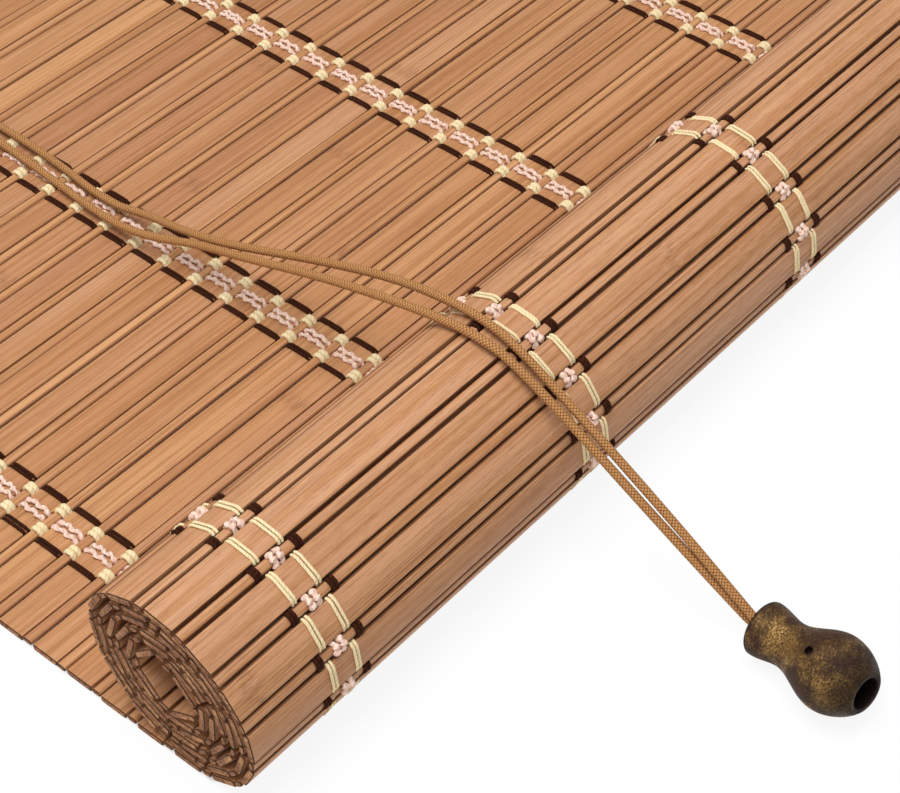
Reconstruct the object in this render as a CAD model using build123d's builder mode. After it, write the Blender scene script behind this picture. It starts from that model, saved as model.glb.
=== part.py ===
from build123d import *
import os
from math import asin, cos, degrees, hypot, pi, radians, sin, sqrt, tan

# A bamboo roll-up blind, laid on its back with its lower end rolled up. X runs along the slats,
# +Y from the roll to the headrail, +Z up from the surface that the mat lies on.

# Mat: wide slats and narrow sticks lie side by side, bound by bands of yarn
blind_width = 600
slat_pairs = 84
wide_width = 8.4
narrow_width = 2.9
slat_gap = 0.27
wide_thick = 1.8
narrow_thick = 1.5
wide_ease = 0.3
narrow_ease = 0.45
flat_length = 372

# Roll: an oval spiral of straight slats, whose turns stand apart by a share of a slat's sag
core_radius = 7.2
sag_share = 0.735
oval_share = 0.09
oval_tilt = 36

# Yarn bands: dark rows outside, cream rows inside them and a pink row in the middle
band_count = 7
band_inset = 30
dark_offset = 6.5
cream_offset = 3.9
dark_width = 1.2
cream_width = 1.6
pink_width = 2.6
yarn_thick = 0.5
yarn_floor_gap = 5

# Headrail: a batten on the mat's upper end, tacked from behind through one slat
headrail_depth = 28
headrail_thick = 14
headrail_round = 2
tack_head_radius = 2.2
tack_head_thick = 0.7
tack_radius = 0.8
tack_length = 9
fit_clearance = 0.1

# Hangers: steel plates with a hole past the headrail's upper edge
hanger_inset = 60
hanger_width = 16
hanger_length = 38
hanger_thick = 2
hanger_overhang = 14
hanger_hole_radius = 2.5
hanger_hole_edge = 7
hanger_screw_spacing = 10
screw_radius = 1.5
screw_length = 9
screw_head_radius = 3
screw_head_thick = 1.6

# Pulleys: grooved sheaves on a riveted pin in a steel bracket under the headrail
pulley_inset = 123
sheave_radius = 6.5
sheave_thick = 5
groove_radius = 1.9
sheave_side_gap = 0.4
pin_radius = 1.5
pin_clearance = 0.05
pin_head_radius = 2.6
pin_head_thick = 1
bracket_thick = 1.2
bracket_height = 12
bracket_ear = 8
bracket_corner = 2
pin_reach = 9

# Cord and tassel: two strands into one turned wooden tassel, stopped by their knot
cord_diameter = 2.3
strand_spacing = 2.6
strand_lean = 105
strand_groove_gap = 0.3
elbow_reach = 7
elbow_stagger = 0.9
bend_share = 0.45
knot_radius = 3.4
tassel_length = 31.5
tassel_collar_radius = 7
tassel_waist_radius = 5.9
tassel_ball_radius = 9.75
tassel_shoulder_radius = 7.9
tassel_end_radius = 5.1
tassel_neck_round = 0.9
tassel_rim_round = 0.4
cord_hole_radius = 2.6
tassel_bore_radius = 4
tassel_bore_depth = 17
tassel_pit_radius = 1
tassel_pit_depth = 2.4
tassel_neck_x = -188.3
tassel_neck_y = -260.25
tassel_turn = 7.9
collar_share = 0.06
waist_share = 0.28
ball_share = 0.665
shoulder_share = 0.895
pit_share = 0.54
pit_lean = 28

cut_overrun = 1

os.makedirs("parts", exist_ok=True)


# The mat's section, seen along the slats from the roll's own centre
slat_pitch = wide_width + narrow_width + 2 * slat_gap
rolled_length = slat_pairs * slat_pitch - flat_length
turn_clearance = sag_share * wide_width**2 / (8 * core_radius)
turn_spacing = wide_thick + turn_clearance
roll_radius = sqrt(core_radius**2 + rolled_length * turn_spacing / pi)
lift_off_angle = -pi / 2


def spiral_point(angle):
    """Point of the front face where the spiral's outward normal has this angle."""
    growth = turn_spacing / (2 * pi)
    radius = roll_radius + growth * (angle - lift_off_angle)
    lobe = 2 * (angle - radians(oval_tilt))
    reach = radius * (1 + oval_share * cos(lobe))
    slide = growth * (1 + oval_share * cos(lobe)) - 2 * oval_share * radius * sin(lobe)
    return (reach * cos(angle) - slide * sin(angle), reach * sin(angle) + slide * cos(angle))


lift_off_y, lift_off_z = spiral_point(lift_off_angle)


def front_point(run):
    """Point of the mat's front face: on the flat below zero run, on the roll above it."""
    if run <= 0:
        return (lift_off_y - run, wide_thick)
    y, z = spiral_point(lift_off_angle - run / roll_radius)
    return (y, z - lift_off_z + wide_thick)


def chord_end(run, length):
    """Run at which a straight chord of this length, begun at this run, meets the face again."""
    start = front_point(run)
    near = run
    far = run + length * roll_radius / core_radius * 2
    for _ in range(48):
        middle = (near + far) / 2
        point = front_point(middle)
        if hypot(point[0] - start[0], point[1] - start[1]) < length:
            near = middle
        else:
            far = middle
    return (near + far) / 2


def slat_outline(run, end, thick, ease):
    """Section of one slat: a bar with eased edges, its front face between two points."""
    start = front_point(run)
    stop = front_point(end)
    width = hypot(stop[0] - start[0], stop[1] - start[1])
    along = ((stop[0] - start[0]) / width, (stop[1] - start[1]) / width)
    corners = [
        (ease, 0),
        (width - ease, 0),
        (width, ease),
        (width, thick - ease),
        (width - ease, thick),
        (ease, thick),
        (0, thick - ease),
        (0, ease),
    ]
    return [
        (start[0] + a * along[0] - b * along[1], start[1] + a * along[1] + b * along[0])
        for a, b in corners
    ]


wide_flat = []
wide_rolled = []
narrow_flat = []
narrow_rolled = []
outer_turn = []
run = -flat_length
for pair in range(slat_pairs):
    end = chord_end(run, wide_width)
    outline = slat_outline(run, end, wide_thick, wide_ease)
    (wide_rolled if end > 0 else wide_flat).append(outline)
    if 0 < run < 2 * pi * roll_radius and min(z for y, z in outline) > yarn_floor_gap:
        outer_turn.append(outline)
    run = chord_end(end, slat_gap)
    end = chord_end(run, narrow_width)
    outline = slat_outline(run, end, narrow_thick, narrow_ease)
    (narrow_rolled if end > 0 else narrow_flat).append(outline)
    run = chord_end(end, slat_gap)


def roll_strip():
    """Section of a yarn over the roll's outer turn, touching the back of each wide slat."""
    inner = []
    outer = []
    for corners in outer_turn:
        front, back = corners[1], corners[4]
        out = ((back[0] - front[0]) / wide_thick, (back[1] - front[1]) / wide_thick)
        for corner in (corners[5], corners[4]):
            inner.append(corner)
            outer.append((corner[0] + yarn_thick * out[0], corner[1] + yarn_thick * out[1]))
    return inner + outer[::-1]


# Where the section stands: the whole blind is centred over the origin
roll_edge = min(y for y, z in roll_strip())
mat_end = lift_off_y + flat_length
section_shift = -(roll_edge + mat_end + hanger_overhang) / 2
mat_end_y = mat_end + section_shift
flat_edge = min(y for outline in wide_flat + narrow_flat for y, z in outline) + section_shift
left_end = -blind_width / 2
headrail_y = mat_end_y - headrail_depth / 2
headrail_near = mat_end_y - headrail_depth
headrail_top = wide_thick + headrail_thick
band_pitch = (blind_width - 2 * band_inset) / (band_count - 1)
band_places = [left_end + band_inset + index * band_pitch for index in range(band_count)]
tack_y = mat_end_y - slat_pitch - wide_width / 2


def section_plane(x):
    """Plane across the slats at this place along them, as the mat's section is drawn."""
    return Plane((x, section_shift, 0), x_dir=(0, 1, 0), z_dir=(1, 0, 0))


def save(piece, name):
    """Labels one finished piece and writes it."""
    piece.part.label = name
    export_step(piece.part, f"parts/{name}.step")


# Slats and sticks, flat and rolled
def slat_group(outlines, name):
    """Separate slats of one kind, each as long as the blind is wide."""
    with BuildPart() as slats:
        with BuildSketch(section_plane(left_end)):
            for outline in outlines:
                Polygon(*outline, align=None)
        extrude(amount=blind_width)
    save(slats, name)


slat_group(wide_flat[:1] + wide_flat[2:], "wide_slats_flat")
slat_group(narrow_flat, "narrow_slats_flat")
slat_group(wide_rolled, "wide_slats_rolled")
slat_group(narrow_rolled, "narrow_slats_rolled")

# The second slat from the mat's end holds the tacks, with their heads sunk in its back
with BuildPart() as binding_slat:
    with BuildSketch(section_plane(left_end)):
        Polygon(*wide_flat[1], align=None)
    extrude(amount=blind_width)
    with BuildSketch():
        with Locations(*[(x, tack_y) for x in band_places]):
            Circle(tack_head_radius + fit_clearance)
    extrude(amount=tack_head_thick + fit_clearance, mode=Mode.SUBTRACT)
    with BuildSketch():
        with Locations(*[(x, tack_y) for x in band_places]):
            Circle(tack_radius + fit_clearance)
    extrude(amount=wide_thick, mode=Mode.SUBTRACT)
save(binding_slat, "binding_slat")


# Yarn bands: each yarn is a flat strip on the face where it floats over the wide slats
def flat_yarn(band_x, offsets, width, name):
    """Strips along the flat mat's front face, from the roll to the headrail."""
    strip_length = headrail_near - flat_edge
    with BuildPart() as yarn:
        with BuildSketch(Plane.XY.offset(wide_thick)):
            with Locations(*[(band_x + x, flat_edge + strip_length / 2) for x in offsets]):
                Rectangle(width, strip_length)
        extrude(amount=yarn_thick)
    save(yarn, name)


def rolled_yarn(band_x, offsets, width, name):
    """Strips over the back of the roll's outer turn."""
    with BuildPart() as yarn:
        for x in offsets:
            with BuildSketch(section_plane(band_x + x - width / 2)):
                Polygon(*roll_strip(), align=None)
            extrude(amount=width)
    save(yarn, name)


for band, band_x in enumerate(band_places, start=1):
    flat_yarn(band_x, (-dark_offset, dark_offset), dark_width, f"band_{band}_dark_yarns")
    flat_yarn(band_x, (0,), pink_width, f"band_{band}_pink_yarn")
    rolled_yarn(band_x, (-cream_offset, cream_offset), cream_width, f"band_{band}_cream_yarns")

# Places of the pulleys and hangers along the headrail, and of their screws
pin_y = headrail_near - bracket_thick - pin_reach
pin_z = wide_thick + headrail_thick / 2
double_x = left_end + pulley_inset
single_x = -double_x
sheave_step = sheave_thick + sheave_side_gap
hanger_places = (left_end + hanger_inset, -left_end - hanger_inset)
hanger_y = mat_end_y + hanger_overhang - hanger_length / 2
hanger_hole_y = mat_end_y + hanger_overhang - hanger_hole_edge
hanger_screw_places = [
    (x, headrail_y + side * hanger_screw_spacing / 2) for x in hanger_places for side in (-1, 1)
]


def bracket_inside(sheaves):
    """Room between a bracket's cheeks for this many sheaves side by side."""
    return sheaves * sheave_step + sheave_side_gap


def ear_places(x, sheaves):
    """Places of a bracket's two screws on the headrail's lower edge."""
    reach = bracket_inside(sheaves) / 2 + bracket_thick + bracket_ear / 2
    return [(x - reach, pin_z), (x + reach, pin_z)]


pulley_screw_places = ear_places(double_x, 2) + ear_places(single_x, 1)

# Headrail: a batten with eased long edges and pilot holes for its screws and tacks
with BuildPart() as headrail:
    with BuildSketch(Plane.XY.offset(wide_thick)):
        with Locations((0, headrail_y)):
            Rectangle(blind_width, headrail_depth)
    extrude(amount=headrail_thick)
    fillet(headrail.edges().filter_by(Axis.X).group_by(Axis.Z)[-1], headrail_round)
    with BuildSketch(Plane.XY.offset(wide_thick)):
        with Locations(*[(x, tack_y) for x in band_places]):
            Circle(tack_radius + fit_clearance)
    extrude(amount=tack_length - wide_thick + cut_overrun, mode=Mode.SUBTRACT)
    with BuildSketch(Plane.XY.offset(headrail_top)):
        with Locations(*hanger_screw_places):
            Circle(screw_radius + fit_clearance)
    extrude(amount=-screw_length, mode=Mode.SUBTRACT)
    with BuildSketch(Plane.XZ.offset(-headrail_near)):
        with Locations(*pulley_screw_places):
            Circle(screw_radius + fit_clearance)
    extrude(amount=-screw_length, mode=Mode.SUBTRACT)
save(headrail, "headrail")

# Tacks: flat heads in the binding slat's back, points in the headrail
with BuildPart() as headrail_tacks:
    with BuildSketch(Plane.XY.offset(fit_clearance)):
        with Locations(*[(x, tack_y) for x in band_places]):
            Circle(tack_head_radius)
    extrude(amount=tack_head_thick)
    with BuildSketch(Plane.XY.offset(fit_clearance)):
        with Locations(*[(x, tack_y) for x in band_places]):
            Circle(tack_radius)
    extrude(amount=tack_length)
save(headrail_tacks, "headrail_tacks")


# Hangers: round-ended plates on the headrail's face
def hanger_plate(x, name):
    """One plate, with a hole past the headrail's edge and two screw holes over the wood."""
    with BuildPart() as plate:
        with BuildSketch(Plane((x, hanger_y, headrail_top))) as face:
            Rectangle(hanger_width, hanger_length)
            fillet(face.vertices().group_by(Axis.Y)[-1], hanger_hole_edge)
            fillet(face.vertices().group_by(Axis.Y)[0], bracket_corner)
            with Locations((0, hanger_hole_y - hanger_y)):
                Circle(hanger_hole_radius, mode=Mode.SUBTRACT)
            with GridLocations(0, hanger_screw_spacing, 1, 2):
                with Locations((0, headrail_y - hanger_y)):
                    Circle(screw_radius + fit_clearance, mode=Mode.SUBTRACT)
        extrude(amount=hanger_thick)
    save(plate, name)


hanger_plate(hanger_places[0], "hanger_plate_left")
hanger_plate(hanger_places[1], "hanger_plate_right")


# Screws: domed heads on a plain shank
def screw_group(plane, places, name):
    """Screws whose heads stand on this plane, driven against its normal."""
    with BuildPart() as screws:
        with BuildSketch(plane):
            with Locations(*places):
                Circle(screw_head_radius)
        extrude(amount=screw_head_thick)
        tops = screws.faces().filter_by(plane).group_by(Axis(plane.origin, plane.z_dir))[-1]
        chamfer(tops.edges(), screw_head_thick / 2)
        with BuildSketch(plane):
            with Locations(*places):
                Circle(screw_radius)
        extrude(amount=-screw_length)
    save(screws, name)


hanger_screw_plane = Plane.XY.offset(headrail_top + hanger_thick)
pulley_screw_plane = Plane.XZ.offset(bracket_thick - headrail_near)
screw_group(hanger_screw_plane, hanger_screw_places, "hanger_screws")
screw_group(pulley_screw_plane, pulley_screw_places, "pulley_screws")


# Pulley brackets: a base plate on the headrail's lower edge and two cheeks that hold the pin
def pulley_bracket(x, sheaves, name):
    """One bracket for this many sheaves side by side."""
    inside = bracket_inside(sheaves)
    with BuildPart() as bracket:
        with BuildSketch(Plane.XZ.offset(-headrail_near)):
            with Locations((x, pin_z)):
                base_width = inside + 2 * (bracket_thick + bracket_ear)
                RectangleRounded(base_width, bracket_height, bracket_corner)
            with Locations(*ear_places(x, sheaves)):
                Circle(screw_radius + fit_clearance, mode=Mode.SUBTRACT)
        extrude(amount=bracket_thick)
        for cheek_x in (x - inside / 2 - bracket_thick, x + inside / 2):
            with BuildSketch(Plane((cheek_x, pin_y, pin_z), x_dir=(0, 1, 0), z_dir=(1, 0, 0))):
                Circle(bracket_height / 2)
                with Locations((pin_reach / 2, 0)):
                    Rectangle(pin_reach, bracket_height)
                Circle(pin_radius + pin_clearance, mode=Mode.SUBTRACT)
            extrude(amount=bracket_thick)
    save(bracket, name)


def pulley_pin(x, sheaves, name):
    """Riveted pin through both cheeks, with a head outside each."""
    outside = bracket_inside(sheaves) + 2 * bracket_thick
    with BuildPart() as pin:
        with BuildSketch(Plane((x, pin_y, pin_z), x_dir=(0, 1, 0), z_dir=(1, 0, 0))):
            Circle(pin_radius)
        extrude(amount=outside / 2 + pin_head_thick, both=True)
        for side in (-1, 1):
            head_plane = Plane((x + side * outside / 2, pin_y, pin_z), z_dir=(side, 0, 0))
            with BuildSketch(head_plane):
                Circle(pin_head_radius)
            extrude(amount=pin_head_thick)
    save(pin, name)


def sheave(x, name):
    """Wheel with a round groove for the cord, free to turn on the pin."""
    half = sheave_thick / 2
    bore = pin_radius + pin_clearance
    with BuildPart() as wheel:
        with BuildSketch(Plane((x, pin_y, pin_z), x_dir=(1, 0, 0), z_dir=(0, -1, 0))):
            with Locations((0, (bore + sheave_radius) / 2)):
                Rectangle(sheave_thick, sheave_radius - bore)
            with Locations((0, sheave_radius)):
                Circle(groove_radius, mode=Mode.SUBTRACT)
        revolve(axis=Axis((x - half, pin_y, pin_z), (1, 0, 0)))
    save(wheel, name)


pulley_bracket(double_x, 2, "double_pulley_bracket")
pulley_pin(double_x, 2, "double_pulley_pin")
sheave(double_x - sheave_step / 2, "double_pulley_sheave_left")
sheave(double_x + sheave_step / 2, "double_pulley_sheave_right")
pulley_bracket(single_x, 1, "single_pulley_bracket")
pulley_pin(single_x, 1, "single_pulley_pin")
sheave(single_x, "single_pulley_sheave")

# Tassel: turned wood that lies on its collar and its ball, bored from the ball's end
tassel_tilt = degrees(
    asin((tassel_ball_radius - tassel_collar_radius) / ((ball_share - collar_share) * tassel_length))
)
tassel_neck_z = (
    tassel_collar_radius / cos(radians(tassel_tilt))
    - collar_share * tassel_length * sin(radians(tassel_tilt))
)
tassel_axis = Vector(0, -1, 0).rotate(Axis.X, -tassel_tilt).rotate(Axis.Z, -tassel_turn)
tassel_side = Vector(1, 0, 0).rotate(Axis.Z, -tassel_turn)
tassel_neck = Vector(tassel_neck_x, tassel_neck_y, tassel_neck_z)
tassel_plane = Plane(tassel_neck, x_dir=tassel_axis, z_dir=tassel_side)
shoulder = tassel_length - tassel_bore_depth
with BuildPart() as cord_tassel:
    with BuildSketch(tassel_plane):
        with BuildLine():
            Spline(
                (0, tassel_collar_radius),
                (collar_share * tassel_length, tassel_collar_radius),
                (waist_share * tassel_length, tassel_waist_radius),
                (ball_share * tassel_length, tassel_ball_radius),
                (shoulder_share * tassel_length, tassel_shoulder_radius),
                (tassel_length, tassel_end_radius),
            )
            Polyline(
                (tassel_length, tassel_end_radius),
                (tassel_length, tassel_bore_radius),
                (shoulder, tassel_bore_radius),
                (shoulder, cord_hole_radius),
                (0, cord_hole_radius),
                (0, tassel_collar_radius),
            )
        make_face()
    revolve(axis=Axis(tassel_neck, tassel_axis))
    rims = cord_tassel.edges().filter_by(GeomType.CIRCLE).group_by(Axis(tassel_neck, tassel_axis))
    fillet(rims[0].sort_by(SortBy.RADIUS)[-1], tassel_neck_round)
    rims = cord_tassel.edges().filter_by(GeomType.CIRCLE).group_by(Axis(tassel_neck, tassel_axis))
    fillet(rims[-1], tassel_rim_round)
    pit_out = Vector(0, 0, 1).rotate(Axis(Vector(0, 0, 0), tassel_axis), pit_lean)
    pit_top = tassel_neck + tassel_axis * (pit_share * tassel_length) + pit_out * tassel_ball_radius
    with BuildSketch(Plane(pit_top, z_dir=pit_out)):
        Circle(tassel_pit_radius)
    extrude(amount=-tassel_pit_depth, mode=Mode.SUBTRACT)
save(cord_tassel, "cord_tassel")

# Knot: both strands' ends tied into a ball that stops at the bore's shoulder
knot_place = tassel_neck + tassel_axis * (shoulder + knot_radius)
with BuildPart(Plane(knot_place, z_dir=tassel_axis)) as cord_knot:
    Sphere(knot_radius)
save(cord_knot, "cord_knot")

# Cord strands: round a sheave, along the mat, up over the roll and down into the tassel.
# Each route's points are chosen by hand, and the last one ends at the knot.
strand_radius = cord_diameter / 2
groove_reach = sheave_radius - groove_radius + strand_groove_gap + strand_radius
strand_side = tassel_side.rotate(Axis((0, 0, 0), tassel_axis), strand_lean)


def strand_end(side, depth):
    """Place on a strand's line in the tassel, this deep past its neck."""
    return tassel_neck + tassel_axis * depth + strand_side * (side * strand_spacing / 2)


def strand(sheave_x, side, free_points, name):
    """A tube on straight runs and arcs, round the sheave first and into the tassel last."""
    points = [
        Vector(sheave_x, pin_y + groove_reach, pin_z - strand_radius),
        Vector(sheave_x, pin_y + groove_reach, pin_z + groove_reach),
        *[Vector(*point) for point in free_points],
        strand_end(side, side * elbow_stagger - elbow_reach),
        strand_end(side, shoulder - fit_clearance),
    ]
    runs = [(b - a).length for a, b in zip(points, points[1:])]
    radii = [groove_reach]
    for index in range(2, len(points) - 1):
        turn = (points[index] - points[index - 1]).get_angle(points[index + 1] - points[index])
        radii.append(bend_share * min(runs[index - 1], runs[index]) / tan(radians(turn / 2)))
    with BuildPart() as tube:
        with BuildLine():
            path = FilletPolyline(*points, radius=radii)
        with BuildSketch(Plane(path @ 0, z_dir=path % 0)):
            Circle(strand_radius)
        sweep()
    share = tube.part.volume / (pi * strand_radius**2 * path.length)
    print(name, "length", round(path.length, 1), "volume share", round(share, 4))
    print(name, "radii", [round(radius, 1) for radius in radii])
    save(tube, name)


right_route = [
    (-174.2, 146, 14.6),
    (-174, 123, 10.5),
    (-174.4, 84, 4.2),
    (-174.8, 40, 3.7),
    (-174.1, 2, 3.6),
    (-177.2, -28, 3.6),
    (-178.9, -51, 9.3),
    (-181.7, -82, 20.4),
    (-181.1, -112, 31.6),
    (-181.7, -138, 41.5),
    (-183.8, -158, 48.4),
    (-186.5, -175, 52.1),
    (-187.9, -188, 49.8),
    (-186.6, -229, 24.2),
]
left_route = [
    (-179.8, 146, 14.6),
    (-179.7, 122, 10.3),
    (-179.3, 83, 4.2),
    (-178.4, 38, 3.7),
    (-180.4, -2, 3.6),
    (-182.8, -32, 3.6),
    (-183.6, -56, 9.9),
    (-184.5, -86, 21),
    (-186, -117, 32.7),
    (-188, -140, 41.4),
    (-190.3, -160, 48.4),
    (-191.9, -176, 52.2),
    (-191.5, -188.5, 49.7),
    (-188.3, -231, 20.6),
]
strand(double_x + sheave_step / 2, 1, right_route, "cord_strand_right")
strand(double_x - sheave_step / 2, -1, left_route, "cord_strand_left")
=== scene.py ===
import bmesh
import bpy
import numpy as np
from mathutils import Matrix, Vector


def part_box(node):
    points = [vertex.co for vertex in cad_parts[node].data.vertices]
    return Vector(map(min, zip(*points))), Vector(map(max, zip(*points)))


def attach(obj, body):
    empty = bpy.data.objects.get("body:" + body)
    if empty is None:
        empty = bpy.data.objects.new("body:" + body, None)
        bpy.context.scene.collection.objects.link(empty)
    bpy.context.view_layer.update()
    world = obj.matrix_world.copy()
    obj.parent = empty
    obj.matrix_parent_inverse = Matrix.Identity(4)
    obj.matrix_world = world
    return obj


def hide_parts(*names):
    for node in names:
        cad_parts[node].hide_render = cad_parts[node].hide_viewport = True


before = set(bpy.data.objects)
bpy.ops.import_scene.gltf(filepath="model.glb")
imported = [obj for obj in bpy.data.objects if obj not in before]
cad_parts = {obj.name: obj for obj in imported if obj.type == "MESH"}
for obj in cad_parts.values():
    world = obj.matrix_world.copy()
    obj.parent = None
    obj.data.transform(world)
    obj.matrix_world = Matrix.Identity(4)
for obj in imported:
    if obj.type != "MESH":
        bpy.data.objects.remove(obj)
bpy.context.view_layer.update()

# Slats: strips split from bamboo, planed flat and eased at their edges, by turns with narrow
# rounder sticks. They lie side by side from the headrail down, and the mat's lower end is rolled
# up towards the front, so the roll's outside shows their backs.
mm = 0.001
dice = np.random.default_rng(11)
stick_below = 5 * mm


class Slat:
    """Place of one slat in the mat's section: centre, run along the mat, front normal and size."""

    def __init__(self, corners):
        spread = np.cov((corners - corners.mean(0)).T)
        self.run = np.linalg.eigh(spread)[1][:, 1]
        self.face_front()
        across, up = corners @ self.run, corners @ self.front
        self.centre = (np.ptp(across) / 2 + across.min()) * self.run
        self.centre = self.centre + (np.ptp(up) / 2 + up.min()) * self.front
        self.width, self.thick = np.ptp(across), np.ptp(up)
        self.stick = self.width < stick_below

    def face_front(self):
        self.front = np.array([self.run[1], -self.run[0]])

    def turn_round(self):
        self.run = -self.run
        self.face_front()

    def end(self, side):
        return self.centre + side * self.width / 2 * self.run


def slats_in(node):
    """Every slat of a CAD node, read from its corners."""
    solid = bmesh.new()
    solid.from_mesh(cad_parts[node].data)
    bmesh.ops.remove_doubles(solid, verts=solid.verts, dist=1e-6)
    found = []
    taken = set()
    for first in solid.verts:
        if first in taken:
            continue
        taken.add(first)
        linked = [first]
        for corner in linked:
            near = [side.other_vert(corner) for side in corner.link_edges]
            linked.extend(other for other in near if other not in taken)
            taken.update(near)
        found.append(Slat(np.array([corner.co.yz for corner in linked])))
    solid.free()
    return found


groups = {
    name: slats_in(name)
    for name in (
        "wide_slats_flat",
        "narrow_slats_flat",
        "wide_slats_rolled",
        "narrow_slats_rolled",
        "binding_slat",
    )
}
wide = groups["wide_slats_flat"] + groups["binding_slat"] + groups["wide_slats_rolled"]
narrow = groups["narrow_slats_flat"] + groups["narrow_slats_rolled"]

# The mat in order, from the headrail to the roll's core
mat = []
here = np.array([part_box("wide_slats_flat")[1].y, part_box("wide_slats_flat")[1].z / 2])
for place in range(len(wide) + len(narrow)):
    left = [slat for slat in (narrow if place % 2 else wide) if slat not in mat]
    slat = min(left, key=lambda s: min(np.hypot(*(s.end(side) - here)) for side in (-1, 1)))
    if np.hypot(*(slat.end(1) - here)) < np.hypot(*(slat.end(-1) - here)):
        slat.turn_round()
    mat.append(slat)
    here = slat.end(1)

# The flat's sticks stand a little proud of its slats and closer to the one above
stick_proud = 0.2 * mm
stick_shift = 0.06 * mm
for slat in groups["narrow_slats_flat"]:
    slat.centre = slat.centre + stick_proud * slat.front - stick_shift * slat.run


def eased_outline(width, thick, ease, crown, steps):
    """Points round a slat's section: rounded corners and slightly crowned faces."""
    points = []
    for quarter, (x, y) in enumerate(((1, 1), (-1, 1), (-1, -1), (1, -1))):
        for step in np.radians(90 * quarter + np.linspace(0, 90, steps)):
            points.append((x * (width / 2 - ease) + ease * np.cos(step),
                           y * (thick / 2 - ease) + ease * np.sin(step)))
        if quarter % 2 == 0:
            points.append((0, y * (thick / 2 + crown)))
    return np.array(points)


def loft(rings, along, around, caps=0):
    """Closed skin over rings of points: points, faces, texture coordinates, finish of each face."""
    count, sides = rings.shape[:2]
    index = np.arange(count * sides).reshape(count, sides)
    after = np.roll(index, -1, axis=1)
    quads = np.stack([index[:-1], after[:-1], after[1:], index[1:]], axis=-1).reshape(-1, 4)
    u = np.broadcast_to(np.asarray(along)[:, None], (count, sides + 1))
    v = np.broadcast_to(np.asarray(around)[None, :], (count, sides + 1))
    grid = np.stack([u, v], axis=-1)
    corners = [grid[:-1, :-1], grid[:-1, 1:], grid[1:, 1:], grid[1:, :-1]]
    texture = np.stack(corners, axis=2).reshape(-1, 2)
    texture = np.concatenate([texture, grid[0, :-1][::-1], grid[-1, :-1]])
    faces = quads.tolist() + [index[0][::-1].tolist(), index[-1].tolist()]
    slots = [caps] * sides + [0] * (len(quads) - 2 * sides) + [caps] * (sides + 2)
    return rings.reshape(-1, 3), faces, texture, slots


def skin(name, lofts, finishes, tones=None, crease=40):
    """One object over all these lofts, smooth up to a crease angle."""
    points, faces, textures, slots, tone = [], [], [], [], []
    start = 0
    for number, (corners, sides, texture, slot) in enumerate(lofts):
        points.append(corners)
        faces.extend([[corner + start for corner in side] for side in sides])
        textures.append(texture)
        slots.extend(slot)
        tone.append(np.broadcast_to(0.5 if tones is None else tones[number], len(corners)))
        start += len(corners)
    mesh = bpy.data.meshes.new(name)
    mesh.from_pydata(np.concatenate(points).tolist(), [], faces)
    mesh.uv_layers.new(name="grain")
    mesh.uv_layers["grain"].data.foreach_set("uv", np.concatenate(textures).ravel())
    mesh.attributes.new("tone", "FLOAT", "POINT")
    mesh.attributes["tone"].data.foreach_set("value", np.concatenate(tone))
    mesh.polygons.foreach_set("material_index", slots)
    mesh.polygons.foreach_set("use_smooth", [True] * len(faces))
    for finish in finishes:
        mesh.materials.append(finish)
    outside = bmesh.new()
    outside.from_mesh(mesh)
    bmesh.ops.recalc_face_normals(outside, faces=outside.faces)
    outside.to_mesh(mesh)
    outside.free()
    mesh.set_sharp_from_angle(angle=np.radians(crease))
    piece = bpy.data.objects.new(name, mesh)
    bpy.context.scene.collection.objects.link(piece)
    return piece


class Shade:
    """One socket in a material: arithmetic on it adds Math nodes, and node() adds any other."""

    def __init__(self, tree, socket=None):
        self.tree = tree
        self.socket = socket

    def node(self, kind, settings=None, sockets=None, output=0):
        made = self.tree.nodes.new("ShaderNode" + kind)
        for name, value in (settings or {}).items():
            setattr(made, name, value)
        for name, value in (sockets or {}).items():
            if isinstance(value, Shade):
                self.tree.links.new(value.socket, made.inputs[name])
            else:
                made.inputs[name].default_value = value
        return Shade(self.tree, made.outputs[output] if len(made.outputs) else None)

    def math(self, operation, first, second=0.0):
        return self.node("Math", {"operation": operation}, {0: first, 1: second})

    def __add__(self, other):
        return self.math("ADD", self, other)

    def __sub__(self, other):
        return self.math("SUBTRACT", self, other)

    def __rsub__(self, other):
        return self.math("SUBTRACT", other, self)

    def __mul__(self, other):
        return self.math("MULTIPLY", self, other)

    __radd__ = __add__
    __rmul__ = __mul__

    def between(self, low, high):
        """0 below low, 1 above high and a smooth step between them."""
        settings = {"interpolation_type": "SMOOTHSTEP"}
        return self.node("MapRange", settings, {"Value": self, "From Min": low, "From Max": high})

    def mix(self, first, second):
        """The first colour where this value is 0, the second where it is 1."""
        return self.node("Mix", {"data_type": "RGBA"}, {0: self, 6: first, 7: second}, output=2)

    def part(self, number):
        """One of this vector's three values."""
        return self.node("SeparateXYZ", {}, {"Vector": self}, output=number)

    def vector(self, operation, other=(0, 0, 0), output="Vector"):
        """Vector arithmetic on this vector."""
        return self.node("VectorMath", {"operation": operation}, {0: self, 1: other}, output)

    def stretched(self, scale):
        """This vector times a scale for each axis."""
        return self.vector("MULTIPLY", scale)

    def spot(self):
        """Place on the object, in the frame that all pieces share."""
        return self.node("TexCoord", output="Object")

    def relief(self, strength, depth):
        """Surface normal that shows this value as height."""
        sockets = {"Strength": strength, "Distance": depth, "Height": self}
        return self.node("Bump", {}, sockets)

    def noise(self, scale, detail=2.0, roughness=0.5):
        """Cloudy noise over this vector."""
        sockets = {"Vector": self, "Scale": scale, "Detail": detail, "Roughness": roughness}
        return self.node("TexNoise", {}, sockets)

    def surface(self, sockets):
        """The finished surface of the material."""
        self.node("OutputMaterial", {}, {"Surface": self.node("BsdfPrincipled", {}, sockets)})


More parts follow.
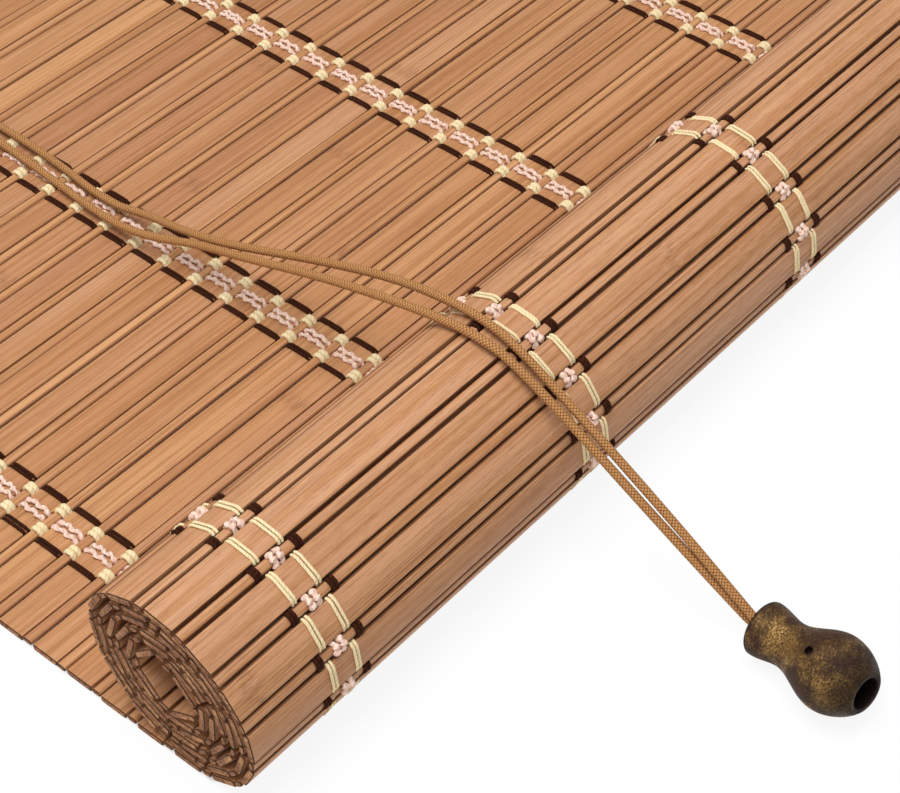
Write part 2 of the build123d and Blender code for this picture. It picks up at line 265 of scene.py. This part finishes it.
def finish(name):
    """A new material and a start for its nodes."""
    made = bpy.data.materials.new(name)
    made.use_nodes = True
    made.node_tree.nodes.clear()
    return made, Shade(made.node_tree)


def srgb(code):
    """A colour written as on screen, as the light that a shader takes."""
    parts = np.array([int(code[at : at + 2], 16) for at in (0, 2, 4)]) / 255
    light = np.where(parts <= 0.04045, parts / 12.92, ((parts + 0.055) / 1.055) ** 2.4)
    return (*light.tolist(), 1.0)


def bamboo_finish(name, paler, flecks, edges):
    """Stained bamboo: fibres along the slat, soft streaks, faint knuckle rings and painted edge
    shade.
    """
    made, shade = finish(name)
    grain = shade.node("UVMap", {"uv_map": "grain"})
    tone = shade.node("Attribute", {"attribute_name": "tone"}, output="Fac")
    # Painted shade: a tone below 0 marks a slat's edges, darkened to stand for the shade in the
    # gaps.
    painted_gap_shade = 1 - tone.between(-0.8, 0.1)
    fibre = grain.stretched((18, 2300, 1)).noise(1.0, 3.0, 0.6)
    hairline = grain.stretched((60, 5200, 1)).noise(1.0, 3.0, 0.6)
    streak = grain.stretched((6, 520, 1)).noise(1.0, 4.0, 0.65)
    cloud = grain.stretched((16, 150, 1)).noise(1.0, 2.0)
    fleck = grain.stretched((170, 1300, 1)).noise(1.0, 4.0, 0.7)
    # paler lifts the whole colour; on the roll it is painted light for the roll's brighter top.
    pale = (tone + paler).mix(srgb("b57f54"), srgb("cb9768"))
    rosy = (tone + paler).mix(srgb("af7b57"), srgb("c2906b"))
    deep = (tone + paler).mix(srgb("9b653b"), srgb("ad7748"))
    hue = shade.math("PINGPONG", tone * 5.3, 0.5) + cloud * 0.8 + paler
    colour = hue.between(0.4, 1.0).mix(pale, rosy)
    colour = ((1 - streak.between(0.36, 0.6)) * 0.8).mix(colour, deep)
    colour = (fibre.between(0.5, 0.64) * 0.4).mix(colour, srgb("7c4c2a"))
    colour = ((1 - fibre.between(0.3, 0.44)) * 0.3).mix(colour, srgb("d5a673"))
    colour = (fleck.between(0.5, 0.68) * flecks).mix(colour, srgb("7b4527"))
    colour = ((1 - fleck.between(0.32, 0.46)) * flecks).mix(colour, srgb("d8ac7c"))
    knuckle_length = 0.34
    turn = grain.part(0) + tone * 7.3
    knuckle = shade.math("PINGPONG", turn + streak * 0.002, knuckle_length / 2)
    ring = (1 - knuckle.between(0.0006, 0.004)) * fleck.between(0.42, 0.6)
    colour = (ring * 0.45).mix(colour, srgb("7a4b2c"))
    # Painted shade on the edges, as much as edges asks for.
    colour = (painted_gap_shade * edges).mix(colour, srgb("452614"))
    height = fibre * 0.5 + hairline * 0.4 + streak * 0.3 - ring * 0.3
    shade.surface({
        "Base Color": colour,
        "Roughness": hairline * 0.25 + 0.4,
        "Specular IOR Level": 0.25,
        "Normal": height.relief(0.35, 0.3 * mm),
    })
    return made


# The last value is how much painted shade each finish puts on the slats' edges.
bamboo_front = bamboo_finish("bamboo_front", 0.0, 0.14, 0.0)
# The roll's finish is paler than the flat's: painted light for the roll's brighter top.
bamboo_back = bamboo_finish("bamboo_back", 0.45, 0.28, 0.52)

bamboo_end, shade = finish("bamboo_end_grain")
place = shade.spot()
pores = shade.node("TexVoronoi", {}, {"Vector": place.stretched((0.2, 1, 1)), "Scale": 3200.0})
rough = place.noise(900.0, 3.0)
tone = shade.node("Attribute", {"attribute_name": "tone"}, output="Fac")
colour = tone.mix(srgb("a06d4c"), srgb("cb9566"))
colour = (pores.between(0.1, 0.45) * rough.between(0.25, 0.6)).mix(srgb("5a3620"), colour)
# Painted shade: the eased rim round each slat's end is darkened for the shade in the gaps beside
# it.
normal = shade.node("NewGeometry", {}, {}, output="True Normal")
facing = shade.math("ABSOLUTE", normal.part(0))
colour = facing.between(0.8, 0.95).mix(srgb("40281a"), colour)
shade.surface({
    "Base Color": colour,
    "Roughness": 0.75,
    "Specular IOR Level": 0.2,
    "Normal": (rough + pores).relief(0.7, 0.4 * mm),
})

stick_slim, stick_round, stick_crown = 0.12 * mm, 0.7 * mm, 0.03 * mm
wide_round, wide_crown = 0.36 * mm, 0.05 * mm
stick_taper, wide_taper, slack = 0.035, 0.018, 0.01
stations = 25
end_trim = 0.35 * mm
end_ease = 0.22 * mm
gap_shade_depth = 0.2 * mm
wander = 0.16 * mm
wave_height = 0.07 * mm
left_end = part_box("wide_slats_flat")[0].x
right_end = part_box("wide_slats_flat")[1].x
for node, members in groups.items():
    lofts, tones = [], []
    for slat in members:
        if slat.stick:
            slim = slat.width - stick_slim
            outline = eased_outline(slim, slat.thick, stick_round, stick_crown, 5)
        else:
            outline = eased_outline(slat.width, slat.thick, wide_round, wide_crown, 3)
        trims = dice.random(2) * end_trim
        x = np.linspace(left_end + trims[0], right_end - trims[1], stations)
        x[1], x[-2] = x[0] + end_ease, x[-1] - end_ease
        eased = np.zeros((stations, 1, 1))
        eased[[0, -1]] = end_ease
        section = outline * (1 - 2 * eased / np.array([slat.width, slat.thick]))
        waves = [np.sin(x / dice.uniform(0.025, 0.09) + dice.uniform(0, 6.3)) for _ in range(4)]
        shift = wander * (waves[0] + 0.5 * waves[1]) / 1.5
        taper = stick_taper if slat.stick else wide_taper
        narrowing = 1 - taper * (1 + waves[2]) / 2 - slack
        lift = wave_height * waves[3]
        across = section[..., 0] * narrowing[:, None] + shift[:, None]
        up = section[..., 1] + lift[:, None]
        rings = np.empty((stations, len(outline), 3))
        rings[..., 0] = x[:, None]
        for axis in (0, 1):
            side = across * slat.run[axis] + up * slat.front[axis]
            rings[..., axis + 1] = slat.centre[axis] + side
        edges = np.diff(np.vstack([outline, outline[:1]]), axis=0)
        around = np.concatenate([[0], np.cumsum(np.hypot(*edges.T))])
        lofts.append(loft(rings, x, around + dice.uniform(0, 3), caps=1))
        # A slat's edges get a tone below 0, which the finishes paint darker as shade in the gaps.
        face = np.abs(outline[:, 1]) > slat.thick / 2 - gap_shade_depth
        tones.append(np.tile(np.where(face, dice.uniform(0.05, 0.95), -1.0), stations))
    bamboo = bamboo_back if node.endswith("_rolled") else bamboo_front
    piece = skin(node + "_bamboo", lofts, [bamboo, bamboo_end], tones)
    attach(piece, "blind")
    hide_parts(node)

# Warp yarns: spun cotton that binds the slats, dark brown and soft pink over the wide slats and
# under the sticks, cream the other way, so the roll shows the reverse of the flat's weave. Each
# float is a short tube whose ends dive into the gaps beside its slat.
def tube(line, radius, sides, squash=1.0, toward=(1.0, 0.0, 0.0)):
    """Closed tube round a line of points that never runs along the direction it starts from."""
    ahead = np.gradient(line, axis=0)
    ahead /= np.linalg.norm(ahead, axis=1)[:, None]
    toward = np.broadcast_to(toward, line.shape)
    beside = toward - (toward * ahead).sum(1)[:, None] * ahead
    beside /= np.linalg.norm(beside, axis=1)[:, None]
    above = np.cross(beside, ahead)
    angle = np.linspace(0, 2 * np.pi, sides, endpoint=False)[None, :, None]
    out = np.cos(angle) * beside[:, None] + squash * np.sin(angle) * above[:, None]
    radius = np.broadcast_to(radius, len(line))[:, None]
    along = np.concatenate([[0], np.cumsum(np.linalg.norm(np.diff(line, axis=0), axis=1))])
    rings = line[:, None] + radius[..., None] * out
    return loft(rings, along + dice.random(), np.linspace(0, 1, sides + 1))


gap_reach = 0.12 * mm


def yarn_float(slat, side, x, radius, squash, wave=0.0):
    """A yarn's float over one slat, on its front (side 1) or back (side -1)."""
    pressed = squash < 0.5
    steps = (9 if pressed else 23) if wave else (5 if pressed else 9)
    share = np.linspace(-1, 1, steps) if wave else np.sin(np.linspace(-1.571, 1.571, steps))
    dive = np.abs(share) ** (3.5 if slat.stick else 9)
    up = side * (slat.thick / 2 + squash * radius * (1 - dive) - slat.thick / 2 * dive)
    across = share * (slat.width / 2 + gap_reach)
    swing = (1.2 if slat.stick else 2.6) * np.pi * share + dice.uniform(0, 6.3)
    line = np.empty((steps, 3))
    line[:, 0] = x + wave * np.sin(swing) * (1 - dive)
    for axis in (0, 1):
        line[:, axis + 1] = slat.centre[axis] + across * slat.run[axis] + up * slat.front[axis]
    lumps = 0.28 if wave else 0.05
    return tube(line, radius * (1 + lumps * np.sin(2 * swing)), 6 if pressed else 8, squash)


def spun_parts(shade):
    """How far along a tube and what share of the way round it."""
    spun = shade.node("UVMap", {"uv_map": "grain"})
    return spun.part(0), spun.part(1)


def yarn_finish(name, light, dark, twist, relief):
    """Spun yarn: plies twisted round its length, with a little fuzz."""
    made, shade = finish(name)
    along, around = spun_parts(shade)
    ply = shade.math("SINE", along * (6.283 * twist) + around * 12.566)
    hairs = shade.spot().noise(2600.0, 3.0, 0.7)
    shadow = (ply * 0.5 + 0.5) * 0.4 + hairs.between(0.3, 0.7) * 0.6
    shade.surface({
        "Base Color": shadow.mix(srgb(dark), srgb(light)),
        "Roughness": 0.9,
        "Specular IOR Level": 0.1,
        "Normal": (ply * 0.5 + hairs).relief(relief, 0.2 * mm),
    })
    return made


dark_finish = yarn_finish("dark_yarn", "43200f", "1e0b05", 900.0, 0.4)
cream_finish = yarn_finish("cream_yarn", "f5e5be", "d9c190", 900.0, 0.3)
pink_finish = yarn_finish("pink_yarn", "fee8da", "d6a68e", 500.0, 0.9)

headrail_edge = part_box("headrail")[0].y
flat_count = sum(len(members) for node, members in groups.items() if not node.endswith("_rolled"))
flat_slats = [slat for slat in mat[:flat_count] if slat.end(-1)[0] < headrail_edge]
outer_turn_angle = 6.1
floor_gap = 0.6 * mm
outer_turn = []
turned = 0.0
for slat, following in zip(mat[flat_count:], mat[flat_count + 1 :]):
    turned += np.arccos(np.clip(slat.run @ following.run, -1, 1))
    clear = (slat.centre - slat.front * slat.thick)[1] > floor_gap
    if turned < outer_turn_angle and clear:
        outer_turn.append(slat)

band_count = 7
dark_offset = 6.5 * mm
cream_offset = 3.9 * mm
loose_by = 0.08 * mm
pressed_below = 13 * mm
# Each yarn's half spacing, radius and flatness or wave, in mm, on a stick and on a wide slat
cream_float = {True: (0.75, 0.82, 0.7), False: (0.52, 0.44, 0.8)}
dark_float = {True: (0.55, 0.6, 0.75), False: (0.48, 0.51, 0.75)}
pink_float = {True: (1.0, 0.85, 0.15), False: (1.05, 0.68, 0.32)}
shown = [(slat, 1) for slat in flat_slats] + [(slat, -1) for slat in outer_turn]
for band in range(1, band_count + 1):
    low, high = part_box(f"band_{band}_pink_yarn")
    middle = (low.x + high.x) / 2
    dark, cream, pink = [], [], []
    for slat, side in shown + [(slat, -1) for slat in flat_slats]:
        under = side < 0 and slat.centre[1] < pressed_below
        for hand in (-1, 1):
            loose = dice.normal(0, loose_by, 3)
            if slat.stick == (side > 0):
                apart, radius, squash = cream_float[bool(slat.stick)]
                for row in (-1, 1):
                    x = middle + row * cream_offset + hand * apart * mm + loose[row]
                    cream.append(yarn_float(slat, side, x, radius * mm, 0.3 if under else squash))
            else:
                apart, radius, squash = dark_float[bool(slat.stick)]
                for row in (-1, 1):
                    x = middle + row * dark_offset + hand * apart * mm + loose[row]
                    dark.append(yarn_float(slat, side, x, radius * mm, 0.3 if under else squash))
                apart, radius, wave = pink_float[bool(slat.stick)]
                squash = 0.2 if under else 0.8
                x = middle + hand * apart * mm + loose[0]
                pink.append(yarn_float(slat, side, x, radius * mm, squash, wave * mm))
    for kind, lofts, made, slot in (
        ("dark_yarns", dark, dark_finish, "dark_yarn"),
        ("cream_yarns", cream, cream_finish, "cream_yarn"),
        ("pink_yarn", pink, pink_finish, "pink_yarn"),
    ):
        piece = skin(f"band_{band}_{kind}_woven", lofts, [made], crease=80)
        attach(piece, "blind")
        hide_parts(f"band_{band}_{kind}")

# Headrail: a planed wooden batten with rounded edges, stained like the slats. It lies on the mat's
# upper end, held by seven tacks from behind, and carries the pulleys and the hangers.
def coat(node, made):
    """A finish on a CAD piece that keeps its own shape."""
    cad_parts[node].data.materials.clear()
    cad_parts[node].data.materials.append(made)


wood, shade = finish("headrail_wood")
place = shade.spot()
rings = place.stretched((3, 120, 120)).noise(1.0, 4.0, 0.6)
fibre = place.stretched((40, 1800, 1800)).noise(1.0, 3.0, 0.6)
colour = rings.between(0.35, 0.65).mix(srgb("9a6238"), srgb("bd8552"))
colour = (fibre.between(0.5, 0.75) * 0.5).mix(colour, srgb("6a4023"))
bump = fibre.relief(0.3, 0.3 * mm)
shade.surface({"Base Color": colour, "Roughness": fibre * 0.2 + 0.4, "Normal": bump})
coat("headrail", wood)

# Steel fittings: tacks, screws, hanger plates, pulley brackets and their pins, stamped or headed
# from mild steel and zinc plated. The tacks pass through the binding slat, and the screws hold the
# plates and brackets to the headrail.
steel, shade = finish("plated_steel")
place = shade.spot()
cloud = place.noise(180.0, 3.0)
scratch = place.stretched((300, 4000, 300)).noise(1.0, 2.0)
colour = cloud.between(0.3, 0.7).mix(srgb("8d8f90"), srgb("b9babb"))
shade.surface({
    "Base Color": colour,
    "Metallic": 1.0,
    "Roughness": cloud * 0.3 + 0.22,
    "Normal": scratch.relief(0.12, 0.2 * mm),
})
for name in (
    "headrail_tacks",
    "hanger_plate_left",
    "hanger_plate_right",
    "hanger_screws",
    "pulley_screws",
    "double_pulley_bracket",
    "double_pulley_pin",
    "single_pulley_bracket",
    "single_pulley_pin",
):
    coat(name, steel)

# Sheaves: small grooved wheels moulded in nylon, slightly yellowed. They turn on the pins riveted
# through their brackets, and the strands run in the grooves of the double pulley's two.
nylon, shade = finish("sheave_nylon")
place = shade.spot()
cloud = place.noise(260.0, 3.0)
colour = cloud.between(0.3, 0.7).mix(srgb("cfc6ad"), srgb("e4dcc6"))
bump = place.noise(2200.0).relief(0.1, 0.2 * mm)
shade.surface({"Base Color": colour, "Roughness": cloud * 0.2 + 0.35, "Normal": bump})
for name in ("double_pulley_sheave_left", "double_pulley_sheave_right", "single_pulley_sheave"):
    coat(name, nylon)

# Pull cord: two strands of golden brown braid, from the double pulley along the mat, up over the
# roll and down to the tassel. Each is a tube that follows its own smooth line.
cord_diameter = 2.3 * mm
right_route = [
    (-174.3, 158.2, 7.65), (-174.3, 158.2, 14.85), (-174.2, 146, 14.6), (-174, 123, 10.5),
    (-174.4, 84, 4.6), (-175.4, 40, 4.4), (-174.8, 2, 4.3), (-178.8, -29, 4.3),
    (-177.4, -44, 7.4), (-180.2, -62, 13.2), (-181.7, -82, 20.4), (-180.5, -112, 31.7),
    (-181.2, -138, 41.6), (-183.8, -158, 48.4), (-186.5, -175, 52.1), (-187.9, -188, 49.8),
    (-187.3, -229, 25.1), (-188, -254.6, 9.8), (-188.3, -258.2, 7.8), (-188.9, -262.2, 8.4),
    (-190.6, -274.1, 10.1),
]
left_route = [
    (-179.7, 158.2, 7.65), (-179.7, 158.2, 14.85), (-179.8, 146, 14.6), (-179.7, 122, 10.3),
    (-179.3, 83, 4.6), (-178.9, 38, 4.4), (-180.9, -2, 4.3), (-184, -33, 4.3),
    (-184.7, -52, 8.4), (-183, -69, 14.6), (-184.5, -88, 21.7), (-185.7, -117, 32.8),
    (-188, -140, 41.4), (-190.3, -160, 48.4), (-191.9, -176, 52.2), (-191.5, -188.5, 49.7),
    (-189.1, -231, 21.3), (-187.8, -253.8, 7), (-187.5, -257.2, 5), (-188.1, -261.3, 5.65),
    (-190, -274.6, 7.6),
]


def smooth_line(route):
    """Points along the smooth spline that a route's points control."""
    curve = bpy.data.curves.new("route", "CURVE")
    curve.dimensions = "3D"
    spline = curve.splines.new("NURBS")
    spline.points.add(len(route) - 1)
    for point, place in zip(spline.points, route):
        point.co = (*[value * mm for value in place], 1.0)
    spline.order_u = 3
    spline.use_endpoint_u = True
    spline.resolution_u = 40
    holder = bpy.data.objects.new("route", curve)
    mesh = bpy.data.meshes.new_from_object(holder)
    line = np.array([point.co for point in mesh.vertices])
    bpy.data.objects.remove(holder)
    bpy.data.curves.remove(curve)
    bpy.data.meshes.remove(mesh)
    return line


braid, shade = finish("braided_cord")
carriers = 6
lay_length = 6 * mm
along, around = spun_parts(shade)
along = along * (6.283 * carriers / lay_length)
around = around * (6.283 * carriers)
laid = shade.math("SINE", (along + around) * 0.5) * shade.math("SINE", (along - around) * 0.5)
weave = shade.math("ABSOLUTE", laid)
hairs = shade.spot().noise(3000.0, 3.0, 0.7)
# Painted shade: the grooves between the braid's carriers are darkened.
colour = weave.between(0.05, 0.6).mix(srgb("66391a"), srgb("be8852"))
colour = (hairs.between(0.35, 0.7) * 0.35).mix(colour, srgb("d0a06a"))
shade.surface({
    "Base Color": colour,
    "Roughness": 0.75,
    "Specular IOR Level": 0.2,
    "Normal": (weave + hairs * 0.4).relief(0.5, 0.3 * mm),
})

step = 0.4 * mm
for side, route, length in (("right", right_route, 0.458), ("left", left_route, 0.46)):
    line = smooth_line(route)
    run = np.concatenate([[0], np.cumsum(np.linalg.norm(np.diff(line, axis=0), axis=1))])
    even = np.linspace(0, run[-1], int(run[-1] / step))
    line = np.stack([np.interp(even, run, line[:, axis]) for axis in range(3)], axis=1)
    round_strand = tube(line, cord_diameter / 2, 16)
    strand = skin(f"cord_strand_{side}_braid", [round_strand], [braid], crease=80)
    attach(strand, "blind")
    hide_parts(f"cord_strand_{side}")

# Knot: the braid's two ends tied together inside the tassel's bore. It is thicker than the cord
# hole, so that the strands can't pull out.
middle = (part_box("cord_knot")[0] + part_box("cord_knot")[1]) / 2
turn = np.linspace(0, 2 * np.pi, 97)
loop = np.stack(
    [
        np.sin(turn) + 2 * np.sin(2 * turn),
        np.cos(turn) - 2 * np.cos(2 * turn),
        -np.sin(3 * turn),
    ],
    axis=1,
)
loop_size, drawn_radius = 0.75 * mm, 1.1 * mm
tie = tube(np.array(middle) + loop_size * loop, drawn_radius, 12, toward=loop)
knot = skin("cord_knot_tied", [tie], [braid], crease=80)
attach(knot, "blind")
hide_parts("cord_knot")

# Tassel: hardwood turned to a collar, a waist and a ball, in a dark stain mottled with gold. Its
# ends are darker, partly stain and partly painted shade, and painted shade darkens it round its
# axis and round the pit at its ball end. It is bored from its ball end for the knot, and hangs on
# the two strands that enter at its collar.
stain, shade = finish("tassel_wood")
place = shade.spot()
axis = (-0.136, -0.9801, 0.1443)
neck = (-0.1883, -0.26025, 0.0068)
pit = (-0.1944, -0.27653, 0.0165)
from_neck = place.vector("SUBTRACT", neck)
depth = from_neck.vector("DOT_PRODUCT", axis, "Value")
off_axis = from_neck.vector("CROSS_PRODUCT", axis).vector("LENGTH", output="Value")
from_pit = place.vector("DISTANCE", pit, "Value")
mottle = place.noise(85.0, 4.0, 0.6)
speck = place.noise(2000.0, 4.0, 0.7)
gold = (speck.between(0.36, 0.62) * 0.85 + 0.15) * (mottle.between(0.42, 0.6) * 0.85 + 0.15)
colour = gold.mix(srgb("291715"), srgb("8f6f3d"))
colour = (speck.between(0.58, 0.7) * gold).mix(colour, srgb("b49666"))
# Ends darker: partly stain, partly painted shade at the collar's end and the ball's end.
stain_and_shade_at_ends = depth.between(23 * mm, 30 * mm) * 0.8 + (1 - depth.between(0.2 * mm, 1.6 * mm)) * 0.8
# Painted shade: darker round the axis, at the cord hole and in the bore, and round the pit.
dark = shade.math("MAXIMUM", stain_and_shade_at_ends, 1 - from_pit.between(1.1 * mm, 1.9 * mm))
dark = shade.math("MAXIMUM", dark, 1 - off_axis.between(4 * mm, 4.5 * mm))
colour = dark.mix(colour, srgb("160c0a"))
shade.surface({
    "Base Color": colour,
    "Metallic": gold * 0.6,
    "Roughness": 0.6 - gold * 0.3,
    "Specular IOR Level": 0.1,
    "Normal": (mottle + speck * 0.8).relief(0.5, 0.5 * mm),
})
coat("cord_tassel", stain)

# Studio: a white floor just under the mat that keeps the shadow, a large soft lamp above with two
# weak ones at the sides, and a pale room. Round the mat, floor and room show as white.
floor_mesh = bpy.data.meshes.new("floor")
reach = 4.0
corners = [(x * reach, y * reach, 0) for x, y in ((-1, -1), (1, -1), (1, 1), (-1, 1))]
floor_mesh.from_pydata(corners, [], [(0, 1, 2, 3)])
floor = bpy.data.objects.new("floor", floor_mesh)
floor.location.z = -0.4 * mm
bpy.context.scene.collection.objects.link(floor)


def seen_rays(shade):
    """1 for what the camera sees, straight, in a reflection or through a clear thing."""
    kinds = ("Camera", "Glossy", "Transmission")
    rays = [shade.node("LightPath", output=f"Is {kind} Ray") for kind in kinds]
    return shade.math("MAXIMUM", shade.math("MAXIMUM", rays[0], rays[1]), rays[2])


white, shade = finish("white_floor")
matte = shade.node("BsdfDiffuse", {}, {"Color": (0.9, 0.9, 0.9, 1)})
glow = shade.node("Emission", {}, {"Color": (1, 1, 1, 1), "Strength": 1.0})
place = shade.spot()
past_sides = shade.math("ABSOLUTE", place.part(0)).between(0.298, 0.3)
past_ends = shade.math("ABSOLUTE", place.part(1)).between(0.185, 0.19)
away = place.vector("LENGTH", output="Value")
bare = shade.math("MAXIMUM", past_sides, past_ends) * (away.between(0.5, 1.4) * 0.1 + 0.9)
lit = shade.node("MixShader", {}, {0: seen_rays(shade) * bare, 1: matte, 2: glow})
shade.node("OutputMaterial", {}, {"Surface": lit})
floor_mesh.materials.append(white)

world = bpy.data.worlds.new("room")
bpy.context.scene.world = world
world.use_nodes = True
world.node_tree.nodes.clear()
shade = Shade(world.node_tree)
strength = seen_rays(shade) * 0.74 + 0.26
room = shade.node("Background", {}, {"Color": (1, 1, 1, 1), "Strength": strength})
shade.node("OutputWorld", {}, {"Surface": room})

middle = Vector((0, -0.1, 0))
for name, place, size, energy in (
    ("softbox", (-0.4, -0.1, 1.25), 0.8, 17),
    ("side", (1.6, -0.6, 1.6), 0.6, 4),
    ("fill", (-1.5, -0.25, 0.5), 1.0, 3.5),
):
    lamp = bpy.data.lights.new(name, "AREA")
    lamp.size = size
    lamp.energy = energy
    holder = bpy.data.objects.new(name, lamp)
    holder.location = place
    aim = middle - holder.location
    holder.rotation_euler = aim.to_track_quat("-Z", "Y").to_euler()
    bpy.context.scene.collection.objects.link(holder)

# Camera: the photograph's own view, fitted to the slat lines and yarn bands that it shows, down
# along the roll from its left end. The lens is long, and everything is in focus.
view = bpy.data.cameras.new("photo_view")
view.sensor_width = 36
view.lens = 91.85
camera = bpy.data.objects.new("photo_view", view)
look = Vector((0.53474, 0.45952, -0.70915))
right = Vector((0.64711, -0.76237, -0.00605))
up = Vector((0.54342, 0.45566, 0.70503))
turned = Matrix((right, up, -look)).transposed().to_4x4()
camera.matrix_world = Matrix.Translation((-0.49398, -0.42708, 0.4268)) @ turned
bpy.context.scene.collection.objects.link(camera)
bpy.context.scene.camera = camera
bpy.context.scene.view_settings.view_transform = "Standard"
